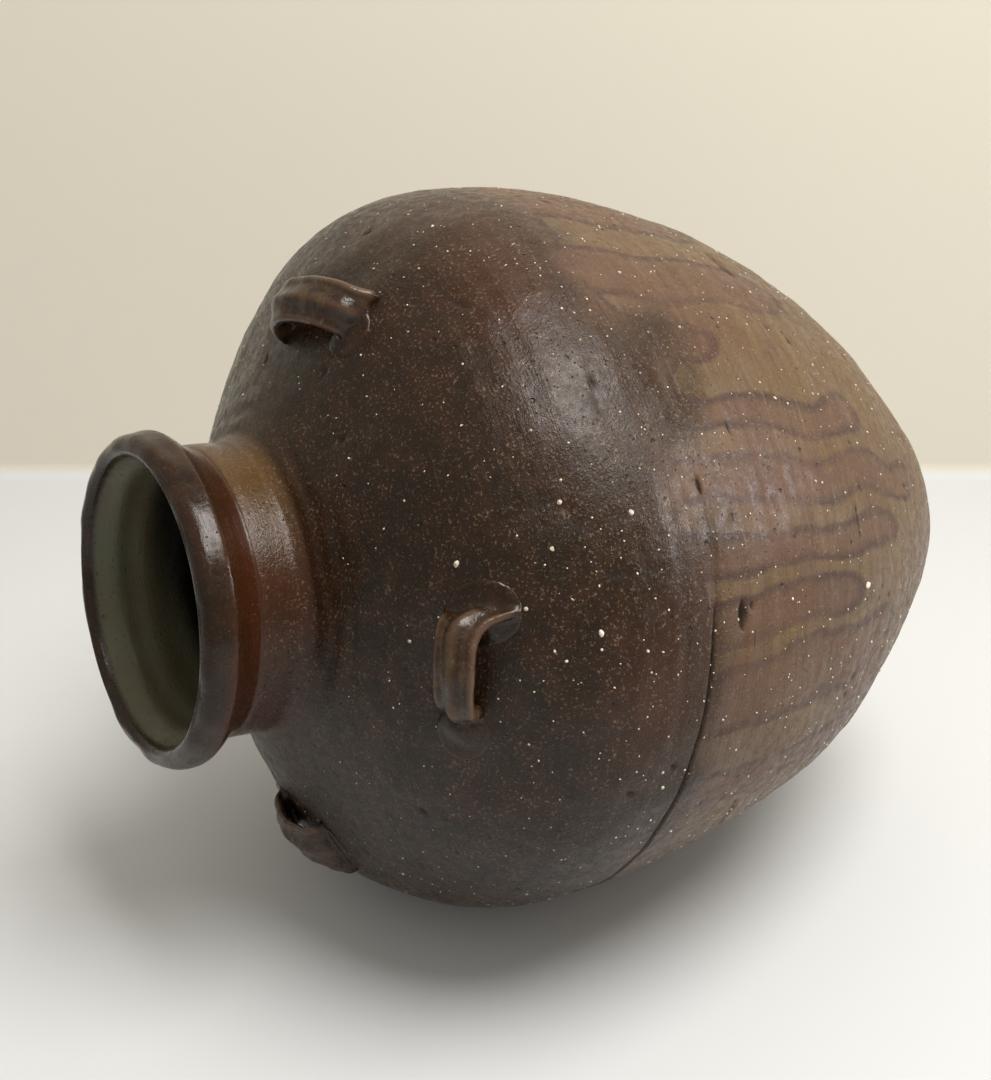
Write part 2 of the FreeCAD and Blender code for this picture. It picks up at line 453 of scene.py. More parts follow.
def run_distance(turn, height, radius, points):
    """Signed distance into the thicker glaze: above 0 inside the shoulder coat or a tongue."""
    wobble = 0.9 * MM * edge_wobble(points) + 3 * MM * patch_field(points)
    inside = (height - 232 * MM) + 3 * wobble
    for degrees, half, tip in glaze_runs:
        along = angle_from(turn, degrees) * radius + wobble
        width = math.radians(half) * belly_radius
        cap = np.minimum(height - tip * MM, 0) / 1.8
        inside = np.maximum(inside, width - np.hypot(along, cap))
    return inside


def shoulder_share(turn, height, points):
    """1 on the dark speckled shoulder, 0 on the thinly glazed lower body."""
    edge = 236 * MM + 10 * MM * np.sin(turn - math.radians(-40))
    drift = 12 * MM * patch_field(points) + 5 * MM * dents(points)
    return smoothstep(-38 * MM, 34 * MM, height - edge + drift)


def olive_share(turn, height, points):
    """Where the thin glaze is olive and ochre, and not mauve: mostly on the upper side."""
    side = 0.5 + 0.5 * np.cos(turn - math.radians(-30))
    return np.clip(0.15 + 0.95 * side + 0.45 * patch_field(points[..., [1, 2, 0]]) - 0.2, 0, 1)


def ochre_share(turn, height, points):
    """The thin ochre glaze on one side of the neck."""
    low = smoothstep(344 * MM, 356 * MM, height)
    return bell(angle_from(turn, -22), 0.5) * low * (1 - smoothstep(371 * MM, 374 * MM, height))


def red_share(turn, height, points):
    """Where the glaze has broken to red-brown: patches of the shoulder, the neck, the seam."""
    top = bell(angle_from(turn, -22), 0.6) * bell(height - 272 * MM, 32 * MM)
    side = bell(angle_from(turn, -93), 0.2) * bell(height - 255 * MM, 18 * MM)
    back = bell(angle_from(turn, 140), 0.8) * bell(height - 285 * MM, 30 * MM)
    neck = smoothstep(340 * MM, 356 * MM, height) * (1 - smoothstep(388 * MM, 393 * MM, height))
    under_rim = bell(height - 377 * MM, 6 * MM)
    share = 0.7 * top + 0.8 * side + 0.75 * neck + 0.5 * under_rim + 0.6 * back
    return np.clip(share * (0.8 + 0.35 * patch_field(points)), 0, 1)


def glaze_values(turn, height, radius, points):
    """The glaze attributes of points of the outer face."""
    return {
        "coat": run_distance(turn, height, radius, points),
        "shoulder": shoulder_share(turn, height, points),
        "olive": olive_share(turn, height, points),
        "ochre": ochre_share(turn, height, points),
        "red": red_share(turn, height, points),
    }


# ---------- turned pieces


def new_object(name, data):
    """An object in the scene that shows a mesh, lamp or camera."""
    made = bpy.data.objects.new(name, data)
    bpy.context.scene.collection.objects.link(made)
    return made


def quads_between(rings, sides, start=0):
    """Quads that join neighbouring rings of points, the first ring at index start."""
    faces = []
    for k in range(rings - 1):
        low = start + k * sides
        for i in range(sides):
            j = (i + 1) % sides
            faces.append((low + i, low + sides + i, low + sides + j, low + j))
    return faces


def new_mesh_object(name, vertices, faces, attributes):
    """A smooth-shaded mesh object in the row frame, with float attributes on its points."""
    mesh = bpy.data.meshes.new(name)
    mesh.from_pydata(vertices.tolist(), [], faces)
    for key, values in attributes.items():
        layer = mesh.attributes.new(key, "FLOAT", "POINT")
        layer.data.foreach_set("value", np.asarray(values, np.float32).ravel())
    mesh.polygons.foreach_set("use_smooth", [True] * len(mesh.polygons))
    mesh.set_sharp_from_angle(angle=math.radians(55))
    return new_object(name, mesh)


def ring_surface(outline, normals, is_outer, run_length, inside_share):
    """All rings of the pot at once: row-frame vertices, their glaze attributes and the painted shade
    inside the throat.
    """
    turns = np.linspace(-math.pi, math.pi, segments, endpoint=False)
    turn = np.broadcast_to(turns, (len(outline), segments))
    radius = np.broadcast_to(outline[:, :1], turn.shape)
    height = np.broadcast_to(outline[:, 1:], turn.shape)
    points = np.stack([radius * np.cos(turn), radius * np.sin(turn), height], axis=-1)
    outer = is_outer[:, None]
    body_radius = np.maximum(radius, 20 * MM)
    flat = (points.reshape(-1, 3), turn.ravel(), height.ravel(), body_radius.ravel())
    stand = relief(*flat).reshape(turn.shape)
    cut = crack_depth(turn, height, body_radius)
    holes = pit_depth(turn, height, body_radius)
    above_sole = smoothstep(0.4 * MM, 3 * MM, height)
    rise = np.where(outer, (stand - cut - holes) * above_sole, 0)
    inner_rings = 0.35 * MM * np.sin(run_length[:, None] * TURN / (15 * MM))
    rise = rise + np.where(outer, 0, inner_rings * smoothstep(20 * MM, 60 * MM, radius))
    points[..., 0] += rise * normals[:, :1] * np.cos(turn)
    points[..., 1] += rise * normals[:, :1] * np.sin(turn)
    points[..., 2] += rise * normals[:, 1:]
    ones = np.ones_like(turn)
    attributes = glaze_values(turn, height, body_radius, points)
    attributes["run"] = run_length[:, None] * ones
    attributes["crack"] = np.where(outer, np.clip((cut + holes) / (0.8 * MM), 0, 1), 0)
    attributes["inside"] = inside_share[:, None] * ones
    # Painted shade inside the throat: the deep attribute darkens the inner face below an edge that
    # stands higher on one side, as if the lip shaded it.
    painted_shade_edge = 362 * MM + 13 * MM * np.cos(turn - math.radians(35))
    deep = 1 - smoothstep(-9 * MM, 9 * MM, height - painted_shade_edge)
    attributes["deep"] = np.where(outer, 0, deep) * ones
    return warped(points), attributes


def ring_faces(rows, closed):
    """Quads between neighbouring rings, and between the last and first if closed."""
    count = rows if closed else rows - 1
    faces = []
    for row in range(count):
        low = row * segments
        high = ((row + 1) % rows) * segments
        for i in range(segments):
            j = (i + 1) % segments
            faces.append((low + i, low + j, high + j, high + i))
    return faces


def turned_piece(name, rows, surface, attributes, poles=()):
    """One clay piece from the named rings; poles closes the first or last ring at the axis."""
    vertices = surface[rows].reshape(-1, 3)
    faces = ring_faces(len(rows), closed=not poles)
    values = {key: layer[rows].reshape(-1) for key, layer in attributes.items()}
    for pole in poles:
        ring = surface[rows[pole]]
        centre = ring.mean(axis=0)
        index = len(vertices)
        base = 0 if pole == 0 else (len(rows) - 1) * segments
        for i in range(segments):
            pair = (base + i, base + (i + 1) % segments)
            faces.append((index, *(pair if pole else pair[::-1])))
        vertices = np.vstack([vertices, centre])
        for key in values:
            values[key] = np.append(values[key], attributes[key][rows[pole]].mean())
    return new_mesh_object(name, vertices, faces, values)


def build_pot():
    """The base, the wall sections, the neck and the rim, which share their rings."""
    inner = inner_outline()
    inner = eased(inner, 4, inner[:, 1] < rim_root_height)
    outline = np.vstack([outer_run, inner[1:]])
    is_outer = np.arange(len(outline)) < len(outer_run)
    run_length = lengths_along(outline)
    normals = outline_normals(outline)
    top = len(outer_run) - 1
    past_lip = run_length - run_length[top]
    inside_share = smoothstep(5 * MM, 8 * MM, past_lip)
    surface, attributes = ring_surface(outline, normals, is_outer, run_length, inside_share)
    outer_cut = [0]
    inner_cut = [len(outline) - 1]
    for out_height, in_height in joint_heights.values():
        outer_cut.append(int(np.argmin(np.abs(outer_run[:, 1] - out_height))))
        inner_cut.append(top + int(np.argmin(np.abs(outline[top:, 1] - in_height))))
    made = {}
    for k, name in enumerate(joint_heights):
        up = np.arange(outer_cut[k], outer_cut[k + 1] + 1)
        down = np.arange(inner_cut[k + 1], inner_cut[k] + 1)
        poles = (0, -1) if k == 0 else ()
        made[name] = turned_piece(name, np.concatenate([up, down]), surface, attributes, poles)
    over = np.arange(outer_cut[-1], inner_cut[-1] + 1)
    made["rim"] = turned_piece("rim", over, surface, attributes)
    return made


# ---------- places on the wall

body_outline = outer_run[outer_run[:, 1] < 352 * MM]
body_lengths = lengths_along(body_outline)
body_normals = outline_normals(body_outline)


def wall_place(turn, length, stand):
    """Unwarped points at a turn, at a length along the outline, standing off the wall, and
    the points of the plain turned wall below them."""
    radius, height = (np.interp(length, body_lengths, column) for column in body_outline.T)
    out, up = (np.interp(length, body_lengths, column) for column in body_normals.T)
    cos, sin = np.cos(turn), np.sin(turn)
    foot = np.stack([radius * cos, radius * sin, height], axis=-1)
    rise = stand + relief(foot, turn, height, np.maximum(radius, 20 * MM))
    reach = radius + rise * out
    return np.stack([reach * cos, reach * sin, height + rise * up], axis=-1), foot


def length_at(height):
    """The length along the outline at a height on the body."""
    return np.interp(height, body_outline[:, 1], body_lengths)


# ---------- lugs

strap_width = 16 * MM
strap_thickness = 6.8 * MM
ridge_height = 1.2 * MM
pad_radius = 14 * MM
pad_height = 2.2 * MM
pad_depth = 3 * MM
lug_voxel = 0.85 * MM


class LugShape(NamedTuple):
    """One lug as the potter pressed it on. Pairs are for its feet before and after its turn."""

    fans: tuple  # how many times wider the strap grows
    reaches: tuple  # how far the foot lies from the middle
    slides: tuple  # how far the foot slides uphill
    rise: float  # height of the strap's middle line off the wall
    width: float  # share of strap_width
    thick: float  # share of strap_thickness
    skew: float  # how far the strap slants uphill along its run
    uphill: float  # how far the whole lug stands towards the mouth


lug_shapes = {
    "lug_front": LugShape((1.0, 2.1), (14 * MM, 24 * MM), (0, -7 * MM), 14 * MM, 0.92, 1, 0, 1 * MM),
    "lug_right": LugShape(
        (1.15, 1.1), (25 * MM, 22 * MM), (-2 * MM, 0), 14 * MM, 1.25, 1.1, 0.32, 10 * MM
    ),
    "lug_back": LugShape((1.2, 1.7), (20 * MM, 24 * MM), (0, -4 * MM), 14 * MM, 1.05, 1.05, 0, 0),
    "lug_left": LugShape((1.3, 1.8), (22 * MM, 27 * MM), (0, -5 * MM), 9 * MM, 1.1, 1, 0, 11 * MM),
}


def strap_mesh(shape):
    """A closed strap in lug coordinates: along the turn, along the wall, off the wall."""
    stations, sides = 72, 44
    rows = []
    for k in range(stations):
        bend = math.pi * k / (stations - 1)
        swing = -math.copysign(abs(math.cos(bend)) ** 0.9, math.cos(bend))
        foot = 0 if swing < 0 else 1
        along = swing * shape.reaches[foot]
        off = shape.rise * math.sin(bend) ** 0.8 - 1.0 * MM
        low = math.exp(-((max(off, 0) / (6.5 * MM)) ** 2))
        fan = shape.fans[foot]
        half_width = 0.5 * strap_width * shape.width * (1 + (fan - 1) * low)
        thin = 1 - 0.3 * low * min(1, fan - 1)
        half_thick = 0.5 * strap_thickness * shape.thick * thin
        slide = shape.slides[foot] * low
        tangent = Vector((math.sin(bend) ** 0.7 + 0.12, 0, math.cos(bend))).normalized()
        out = Vector((-tangent.z, 0, tangent.x))
        for i in range(sides):
            a = TURN * i / sides
            c, s = math.cos(a), math.sin(a)
            across = half_width * math.copysign(abs(c) ** 0.55, c)
            thick = half_thick * math.copysign(abs(s) ** 0.75, s)
            if s > 0:
                thick += ridge_height * s * math.cos(TURN * across / (1.15 * half_width))
                thick -= 0.3 * ridge_height
            slant = shape.skew * along
            rows.append((along + out.x * thick, across + slide + slant, off + out.z * thick))
    faces = quads_between(stations, sides)
    faces.append(tuple(range(sides)))
    faces.append(tuple(reversed(range((stations - 1) * sides, stations * sides))))
    return rows, faces


def pad_mesh(side, fan, slide):
    """A closed thumb-pressed pad, feathered into the wall, with a crescent at its outer edge."""
    rings, sides = 20, 64
    across = 0.95 + 0.3 * (fan - 1)

    def pad_point(share, a):
        outward = math.cos(a) * side
        dome = (1 - share**2) ** 1.4
        crescent = 0.34 * math.exp(-(((share - 0.80) / 0.075) ** 2)) * max(outward, 0) ** 0.7
        thumb = 0.55 * math.exp(-(((share * outward - 0.38) / 0.26) ** 2))
        return (
            side * lug_foot_spread + pad_radius * share * math.cos(a),
            pad_radius * across * share * math.sin(a) + slide,
            pad_height * (dome * (1 - thumb) + crescent) - 0.45 * MM * share**4,
        )

    vertices = [pad_point(0.0, 0.0)]
    for k in range(1, rings + 1):
        vertices += [pad_point(k / rings, TURN * i / sides) for i in range(sides)]
    vertices.append((side * lug_foot_spread, slide, -pad_depth))
    faces = [(0, 1 + i, 1 + (i + 1) % sides) for i in range(sides)]
    faces += quads_between(rings, sides, start=1)
    last = 1 + (rings - 1) * sides
    bottom = len(vertices) - 1
    faces += [(last + (i + 1) % sides, last + i, bottom) for i in range(sides)]
    return vertices, faces


def remeshed(parts, voxel):
    """Closed meshes fused into one even skin of quads."""
    mesh = bpy.data.meshes.new("fused")
    vertices, faces = [], []
    for part_vertices, part_faces in parts:
        start = len(vertices)
        vertices += part_vertices
        faces += [tuple(start + i for i in face) for face in part_faces]
    mesh.from_pydata(vertices, [], faces)
    made = new_object("fused", mesh)
    fuse = made.modifiers.new("fuse", "REMESH")
    fuse.mode = "VOXEL"
    fuse.voxel_size = voxel
    depsgraph = bpy.context.evaluated_depsgraph_get()
    skin_mesh = made.evaluated_get(depsgraph).to_mesh()
    points = np.empty(len(skin_mesh.vertices) * 3)
    skin_mesh.vertices.foreach_get("co", points)
    edges = np.empty(len(skin_mesh.edges) * 2, int)
    skin_mesh.edges.foreach_get("vertices", edges)
    polygons = [tuple(p.vertices) for p in skin_mesh.polygons]
    bpy.data.objects.remove(made)
    return points.reshape(-1, 3), edges.reshape(-1, 2), polygons


def smoothed(points, edges, rounds):
    """Points moved towards the mean of their neighbours, a few times."""
    count = np.bincount(edges.ravel(), minlength=len(points))[:, None]
    for _ in range(rounds):
        total = np.zeros_like(points)
        np.add.at(total, edges[:, 0], points[edges[:, 1]])
        np.add.at(total, edges[:, 1], points[edges[:, 0]])
        points = 0.45 * points + 0.55 * total / count
    return points


def build_lug(name):
    """One lug, shaped flat and then laid on the bent wall."""
    shape = lug_shapes[name]
    parts = [strap_mesh(shape)]
    for side, fan, slide in zip((-1, 1), shape.fans, shape.slides):
        parts.append(pad_mesh(side, fan, slide))
    points, edges, polygons = remeshed(parts, lug_voxel)
    points = smoothed(points, edges, 5)
    broad = smoothed(points, edges, 14)
    worn = np.clip(np.linalg.norm(points - broad, axis=1) / (0.45 * MM), 0, 1)
    worn *= smoothstep(2 * MM, 5 * MM, points[:, 2])
    seat_radius = np.interp(lug_height, body_outline[:, 1], body_outline[:, 0])
    turn = math.radians(lug_turns[name]) + points[:, 0] / seat_radius
    length = length_at(lug_height) + shape.uphill + points[:, 1]
    laid, foot = wall_place(turn, length, points[:, 2])
    radial = laid - foot
    radial /= np.maximum(np.linalg.norm(radial, axis=1), 1e-9)[:, None]
    handling = 0.35 * MM * dents(laid * 1.6) + 0.16 * MM * edge_wobble(laid * 2.2)
    laid = laid + radial * (handling * smoothstep(0, 3 * MM, points[:, 2]))[:, None]
    attributes = {"worn": worn, "off": np.clip(points[:, 2] / shape.rise, 0, 1.3)}
    return new_mesh_object(name, warped(laid), polygons, attributes)


# ---------- feldspar grains

# Large grains: turn in degrees, then height and size in millimetres.
large_grains = [
    (-83, 278, 2.9), (-68, 262, 2.5), (-65, 286, 2.1), (-71, 317, 2.4),
    (-79, 301, 2.4), (-85, 130, 3.4), (-71, 291, 1.8), (-86, 261, 1.7),
    (-42, 209, 1.8), (-54, 172, 1.7), (-31, 222, 1.9), (-86, 329, 1.6),
]
small_grain_count = 2100


def grain_places():
    """Turns, heights and sizes of all the white grains, large ones first."""
    random = np.random.default_rng(41)
    large_turns, large_heights, large_sizes = np.array(large_grains, float).T
    more_turns = random.uniform(-math.pi, math.pi, small_grain_count)
    more_heights = 25 * MM + 318 * MM * random.beta(1.5, 1.35, small_grain_count)
    more_sizes = 0.6 * MM + 1.6 * MM * random.beta(0.8, 5.0, small_grain_count)
    return (
        np.concatenate([np.radians(large_turns), more_turns]),
        np.concatenate([large_heights * MM, more_heights]),
        np.concatenate([large_sizes * MM, more_sizes]),
    )


def ball_mesh(levels):
    """Vertices and faces of a small round ball of triangles."""
    ball = bmesh.new()
    bmesh.ops.create_icosphere(ball, subdivisions=levels, radius=1)
    vertices = np.array([v.co[:] for v in ball.verts])
    faces = [tuple(v.index for v in f.verts) for f in ball.faces]
    ball.free()
    return vertices, faces


def build_grains():
    """White grains of feldspar half sunk in the wall, each its own angular lump."""
    random = np.random.default_rng(43)
    fine, coarse = ball_mesh(3), ball_mesh(2)
    vertices, faces, tones = [], [], []
    for k, (turn, height, size) in enumerate(zip(*grain_places())):
        ball_vertices, ball_faces = fine if k < len(large_grains) else coarse
        lump = ball_vertices * random.uniform(0.65, 1.25, 3)
        cuts = random.normal(size=(7, 3))
        cuts /= np.linalg.norm(cuts, axis=1)[:, None]
        for cut in cuts:
            past = np.maximum(lump @ cut - random.uniform(0.55, 0.9), 0)
            lump = lump - past[:, None] * cut
        lump = lump * size / 2
        spin = random.uniform(0, TURN)
        first = lump[:, 0] * math.cos(spin) - lump[:, 1] * math.sin(spin)
        second = lump[:, 0] * math.sin(spin) + lump[:, 1] * math.cos(spin)
        radius = np.interp(height, body_outline[:, 1], body_outline[:, 0])
        stand = 0.75 * lump[:, 2] + 0.02 * size
        laid, _ = wall_place(turn + first / radius, length_at(height) + second, stand)
        start = len(vertices)
        vertices += list(warped(laid))
        faces += [tuple(start + i for i in face) for face in ball_faces]
        tones += [random.uniform(0, 1)] * len(lump)
    return new_mesh_object("feldspar_grains", np.array(vertices), faces, {"tone": tones})


# ---------- materials


class Paint:
    """A material's node tree, built up a value at a time."""

    def __init__(self, name):
        self.material = bpy.data.materials.new(name)
        self.material.use_nodes = True
        self.tree = self.material.node_tree
        self.shader = self.tree.nodes["Principled BSDF"]
        self.output = self.tree.nodes["Material Output"]

    def node(self, kind, **settings):
        """A new node with its properties set."""
        made = self.tree.nodes.new(kind)
        for key, value in settings.items():
            setattr(made, key, value)
        return made

    def feed(self, socket, value):
        """A constant, colour or linked value put into a socket."""
        if isinstance(value, bpy.types.NodeSocket):
            self.tree.links.new(value, socket)
        elif isinstance(value, (tuple, list)):
            socket.default_value = (*value, 1.0) if len(value) == 3 else value
        else:
            socket.default_value = value

    def place(self):
        """Object coordinates in metres."""
        return self.node("ShaderNodeTexCoord").outputs["Object"]

    def value(self, name):
        """A mesh attribute's value."""
        return self.node("ShaderNodeAttribute", attribute_name=name).outputs["Fac"]

    def math(self, operation, first, second):
        """One arithmetic step."""
        made = self.node("ShaderNodeMath", operation=operation)
        self.feed(made.inputs[0], first)
        self.feed(made.inputs[1], second)
        return made.outputs[0]

    def times(self, first, second):
        """The product of two values."""
        return self.math("MULTIPLY", first, second)

    def plus(self, first, second):
        """The sum of two values."""
        return self.math("ADD", first, second)

    def split(self, vector):
        """The three parts of a vector."""
        made = self.node("ShaderNodeSeparateXYZ")
        self.feed(made.inputs[0], vector)
        return made.outputs

    def span(self, value, low, high, to_low=0.0, to_high=1.0):
        """A value mapped smoothly from one range to another and held inside it."""
        made = self.node("ShaderNodeMapRange", clamp=True, interpolation_type="SMOOTHSTEP")
        for key, entry in zip(("Value", "From Min", "From Max"), (value, low, high)):
            self.feed(made.inputs[key], entry)
        made.inputs["To Min"].default_value = to_low
        made.inputs["To Max"].default_value = to_high
        return made.outputs[0]

    def noise(self, vector, scale, detail=3.0, rough=0.55):
        """Noise about 0.5."""
        made = self.node("ShaderNodeTexNoise")
        self.feed(made.inputs["Vector"], vector)
        made.inputs["Scale"].default_value = scale
        made.inputs["Detail"].default_value = detail
        made.inputs["Roughness"].default_value = rough
        return made.outputs[0]

    def cells(self, vector, scale):
        """Distance to the nearest of scattered points."""
        made = self.node("ShaderNodeTexVoronoi")
        self.feed(made.inputs["Vector"], vector)
        made.inputs["Scale"].default_value = scale
        return made.outputs["Distance"]

    def blend(self, share, first, second):
        """Two colours mixed by a share."""
        made = self.node("ShaderNodeMix", data_type="RGBA")
        self.feed(made.inputs[0], share)
        self.feed(made.inputs[6], first)
        self.feed(made.inputs[7], second)
        return made.outputs[2]

    def tint(self, colour, tone, mask, strength):
        """A colour moved towards a tone where a mask is 1, by that strength."""
        return self.blend(self.times(mask, strength), colour, tone)

    def around(self, turns_scale, run_scale):
        """Coordinates that run round the pot, for marks stretched along the turning."""
        x, y, _ = self.split(self.place())
        flat = self.node("ShaderNodeCombineXYZ")
        self.feed(flat.inputs[0], x)
        self.feed(flat.inputs[1], y)
        unit = self.node("ShaderNodeVectorMath", operation="NORMALIZE")
        self.feed(unit.inputs[0], flat.outputs[0])
        unit_x, unit_y, _ = self.split(unit.outputs[0])
        made = self.node("ShaderNodeCombineXYZ")
        self.feed(made.inputs[0], self.times(unit_x, turns_scale))
        self.feed(made.inputs[1], self.times(unit_y, turns_scale))
        self.feed(made.inputs[2], self.times(self.value("run"), run_scale))
        return made.outputs[0]

    def finish(self, colour, rough, height=None):
        """The colour, roughness and bump height in metres put on the shader."""
        self.feed(self.shader.inputs["Base Color"], colour)
        self.feed(self.shader.inputs["Roughness"], rough)
        if height is not None:
            bump = self.node("ShaderNodeBump")
            bump.inputs["Strength"].default_value = 1.0
            bump.inputs["Distance"].default_value = 1.0
            self.feed(bump.inputs["Height"], height)
            self.feed(self.shader.inputs["Normal"], bump.outputs[0])
        return self.material


shoulder_dark = (0.012, 0.006, 0.002)
shoulder_warm = (0.026, 0.010, 0.0035)
red_brown = (0.046, 0.013, 0.004)
speck_tone = (0.20, 0.15, 0.10)
mauve = (0.086, 0.039, 0.023)
mauve_dark = (0.043, 0.020, 0.013)
olive = (0.110, 0.065, 0.023)
ash_grey = (0.108, 0.067, 0.041)
ochre = (0.088, 0.044, 0.010)
clay_dark = (0.010, 0.006, 0.004)
inner_green = (0.082, 0.085, 0.050)
inner_grey = (0.085, 0.070, 0.042)
# Painted shade for the inner face deep in the throat.
inner_painted_shade = (0.005, 0.004, 0.003)
lug_ridge = (0.10, 0.055, 0.034)
lug_pool = (0.085, 0.070, 0.030)
sole_light = (0.20, 0.135, 0.095)
sole_dark = (0.13, 0.088, 0.065)
sole_grit = (0.34, 0.29, 0.23)
feldspar_white = (0.72, 0.68, 0.58)
feldspar_yellow = (0.44, 0.38, 0.28)
feldspar_stain = (0.30, 0.24, 0.18)


def body_colour(paint, grit):
    """The glaze colour of the wall: shoulder, tongues, olive and ash."""
    place = paint.place()
    broad = paint.noise(place, 22.0, 4.0)
    cloud = paint.noise(place, 75.0, 5.0, 0.62)
    coat = paint.value("coat")
    shoulder = paint.value("shoulder")
    low = paint.blend(paint.span(broad, 0.38, 0.62), mauve, ash_grey)
    olive_mask = paint.times(paint.value("olive"), paint.span(cloud, 0.32, 0.62, 0.35, 1.0))
    low = paint.blend(olive_mask, low, olive)
    inside_run = paint.span(coat, -1.2 * MM, 1.6 * MM)
    low = paint.tint(low, mauve, inside_run, 0.6)
    edge = paint.times(inside_run, paint.span(coat, 1.5 * MM, 6 * MM, 1.0, 0.0))
    edge = paint.times(edge, paint.span(broad, 0.35, 0.6, 0.35, 0.9))
    low = paint.blend(edge, low, mauve_dark)
    streaks = paint.noise(paint.around(3.0, 260.0), 1.0, 4.0, 0.6)
    low = paint.blend(paint.span(streaks, 0.35, 0.7, 0.0, 0.35), low, mauve_dark)
    high = paint.blend(paint.span(cloud, 0.35, 0.68), shoulder_dark, shoulder_warm)
    high = paint.tint(high, red_brown, paint.value("red"), 0.85)
    mixed = paint.plus(shoulder, paint.span(cloud, 0.3, 0.7, -0.14, 0.14))
    colour = paint.blend(paint.span(mixed, 0.06, 0.94), low, high)
    colour = paint.tint(colour, ochre, paint.value("ochre"), 0.8)
    specks = paint.times(grit, paint.span(cloud, 0.3, 0.65, 0.25, 0.8))
    return paint.tint(colour, speck_tone, specks, 0.7)


def glaze(name, gloss, speckle):
    """The glaze of the wall, neck and rim, with painted shade deep in the throat."""
    paint = Paint(name)
    place = paint.place()
    fine = paint.noise(place, 780.0, 3.0, 0.7)
    colour = body_colour(paint, paint.times(paint.span(fine, 0.57, 0.66), speckle))
    peel = paint.noise(place, 210.0, 3.0, 0.6)
    pit = paint.cells(place, 105.0)
    rare = paint.span(paint.noise(place, 45.0, 2.0), 0.47, 0.60)
    pits_here = paint.times(paint.span(pit, 0.06, 0.13, 1.0, 0.0), rare)
    pore = paint.span(paint.cells(place, 330.0), 0.06, 0.18, 1.0, 0.0)
    pores = paint.math("MAXIMUM", pits_here, paint.times(pore, 0.5))
    colour = paint.tint(colour, clay_dark, pores, 0.85)
    scratch = paint.noise(paint.around(4.5, 620.0), 1.0, 4.0, 0.75)
    shoulder = paint.value("shoulder")
    low_part = paint.span(shoulder, 0.1, 0.8, 1.0, 0.25)
    light_lines = paint.times(paint.span(scratch, 0.60, 0.72), low_part)
    dark_lines = paint.times(paint.span(scratch, 0.30, 0.41, 1.0, 0.0), low_part)
    colour = paint.tint(colour, speck_tone, light_lines, 0.38)
    colour = paint.tint(colour, clay_dark, dark_lines, 0.65)
    crack = paint.value("crack")
    colour = paint.blend(paint.span(crack, 0.25, 1.0, 0.0, 0.92), colour, clay_dark)
    grain_size = paint.span(shoulder, 0.0, 1.0, 0.15 * MM, 0.26 * MM)
    height = paint.times(paint.times(fine, grain_size), speckle)
    height = paint.plus(height, paint.times(peel, 0.14 * MM))
    height = paint.math("SUBTRACT", height, paint.times(pores, 0.6 * MM))
    height = paint.plus(height, paint.times(scratch, 0.16 * MM))
    rough = paint.span(paint.noise(place, 240.0, 5.0, 0.7), 0.32, 0.68, gloss - 0.13, gloss + 0.15)
    rough = paint.plus(rough, paint.span(shoulder, 0.0, 1.0, 0.12, 0.0))
    rough = paint.plus(rough, paint.times(crack, 0.3))
    inside = paint.value("inside")
    cloud = paint.noise(place, 30.0, 4.0)
    inner = paint.blend(paint.span(cloud, 0.35, 0.65), inner_green, inner_grey)
    # Painted shade: the inner face is darkened deep in the throat, where the deep attribute is 1.
    inner = paint.blend(paint.value("deep"), inner, inner_painted_shade)
    colour = paint.blend(inside, colour, inner)
    rough = paint.plus(rough, paint.times(inside, 0.22))
    paint.shader.inputs["Specular IOR Level"].default_value = 0.31
    return paint.finish(colour, rough, height)


def lug_glaze():
    """The glaze of the lugs: brown where it ran thin over the ridges, olive where it pooled."""
    paint = Paint("lug_glaze")
    place = paint.place()
    cloud = paint.noise(place, 130.0, 4.0, 0.6)
    fine = paint.noise(place, 900.0, 2.0, 0.6)
    colour = paint.blend(paint.span(cloud, 0.35, 0.65), shoulder_dark, shoulder_warm)
    colour = paint.tint(colour, lug_ridge, paint.value("worn"), 0.8)
    pooled = paint.times(paint.value("off"), paint.span(cloud, 0.5, 0.7, 0.0, 0.4))
    colour = paint.blend(pooled, colour, lug_pool)
    grit = paint.span(fine, 0.60, 0.70, 0.0, 0.25)
    colour = paint.blend(grit, colour, speck_tone)
    height = paint.times(fine, 0.07 * MM)
    height = paint.plus(height, paint.times(paint.noise(place, 260.0), 0.3 * MM))
    rough = paint.span(cloud, 0.3, 0.7, 0.15, 0.32)
    paint.shader.inputs["Specular IOR Level"].default_value = 0.34
    return paint.finish(colour, rough, height)


def foot_clay():
    """The bare worn clay of the sole, with glaze only where it ran to the edge."""
    paint = Paint("foot_clay")
    place = paint.place()
    cloud = paint.noise(place, 60.0, 5.0, 0.6)
    fine = paint.noise(place, 1000.0, 3.0, 0.6)
    colour = paint.blend(paint.span(cloud, 0.35, 0.65), sole_light, sole_dark)
    colour = paint.blend(paint.span(fine, 0.58, 0.70, 0.0, 0.5), colour, sole_grit)
    _, _, lift = paint.split(paint.place())
    glazed = paint.span(lift, 0.6 * MM, 4 * MM)
    colour = paint.blend(glazed, colour, mauve)
    height = paint.times(fine, 0.16 * MM)
    height = paint.plus(height, paint.times(cloud, 0.8 * MM))
    return paint.finish(colour, paint.span(cloud, 0.3, 0.7, 0.72, 0.9), height)


def grain_material():
    """Chalky white feldspar, some grains yellower."""
    paint = Paint("feldspar")
    tone = paint.value("tone")
    colour = paint.blend(tone, feldspar_white, feldspar_yellow)
    shade = paint.noise(paint.place(), 1400.0, 2.0)
    colour = paint.blend(paint.span(shade, 0.4, 0.65, 0.0, 0.45), colour, feldspar_stain)
    return paint.finish(colour, 0.55, paint.times(shade, 0.1 * MM))


